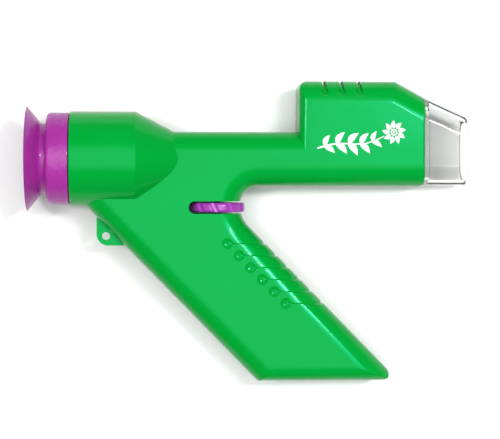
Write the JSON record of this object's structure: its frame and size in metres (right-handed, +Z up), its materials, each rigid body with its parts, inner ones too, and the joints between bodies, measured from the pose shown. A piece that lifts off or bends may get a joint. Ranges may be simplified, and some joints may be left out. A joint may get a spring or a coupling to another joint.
{
  "type": "kids microscope",
  "caption": "Hand-held toy microscope: green moulded body with a slanted grip, soft purple eyecup, focus wheel, lamp housing and clear specimen tip.",
  "frame": {"origin": "centre of the bounding box on the table that the microscope lies on", "axes": "+X from the eyecup towards the clear tip, +Y across the table from the grip's base towards the lamp housing, +Z up from the table; the microscope lies on its left side, so its optical axis runs along +X and dips 3.9 degrees towards the tip"},
  "size_m": [0.1894, 0.1282, 0.0455],
  "materials": {
    "green_shell": "glossy moulded ABS",
    "purple_rubber": "soft glossy moulded rubber",
    "purple_plastic": "glossy moulded plastic",
    "clear_plastic": "clear moulded acrylic",
    "clear_lens": "clear moulded acrylic",
    "black_plastic": "matt black moulded plastic",
    "white_plastic": "natural acetal",
    "felt": "pressed felt",
    "screw_steel": "zinc-plated steel",
    "cell_steel": "nickel-plated steel",
    "contact_metal": "nickel-plated spring steel",
    "circuit_board": "glass-fibre board",
    "resistor_body": "lacquered",
    "red_wire": "PVC insulation",
    "black_wire": "PVC insulation"
  },
  "bodies": {
    "body": {"right_shell": "green_shell", "left_shell": "green_shell", "lanyard_lug": "green_shell", "shell_screws": "screw_steel", "eyecup": "purple_rubber", "eyepiece_insert": "black_plastic", "eye_lens": "clear_lens", "eye_lens_ring": "black_plastic", "clear_tip": "clear_plastic", "led_lamp": "clear_lens", "lamp_board": "circuit_board", "lamp_resistor": "resistor_body", "light_switch_body": "black_plastic", "button_cell_1": "cell_steel", "button_cell_2": "cell_steel", "button_cell_3": "cell_steel", "contact_plate": "contact_metal", "contact_spring": "contact_metal", "positive_wire": "red_wire", "negative_wire": "black_wire"},
    "focus_drive": {"focus_wheel": "purple_plastic", "focus_axle": "black_plastic", "pinion_gear": "white_plastic", "friction_washer": "felt"},
    "focus_carriage": {"focus_tube": "black_plastic", "focus_rack": "black_plastic", "objective_ring": "black_plastic", "objective_lens": "clear_lens"},
    "light_switch": {"light_switch_slider": "black_plastic"},
    "battery_cover": {"battery_door": "green_shell", "battery_door_screw": "screw_steel"}
  },
  "joints": [
    {"name": "focus_turn", "type": "hinge", "parent": "body", "child": "focus_drive", "pos_m": [-0.01255, 0.01005, 0.01732], "axis": [0.0015, 0.9997, 0.0227], "range_deg": [-57.2, 57.2]},
    {"name": "focus_slide", "type": "slide", "parent": "body", "child": "focus_carriage", "axis": [0.9977, 0, -0.0676], "range_m": [-0.0035, 0.0035]},
    {"name": "light_switch_slide", "type": "slide", "parent": "body", "child": "light_switch", "axis": [0.9977, 0, -0.0676], "range_m": [0, 0.002]},
    {"name": "battery_door_hinge", "type": "hinge", "parent": "body", "child": "battery_cover", "pos_m": [0.02463, 0.03988, 0.00545], "axis": [-0.9977, 0, 0.0676], "range_deg": [0, 100]}
  ],
  "couplings": [
    {"joint": "focus_turn", "follows": "focus_slide", "rad_per_m": 285.71}
  ]
}
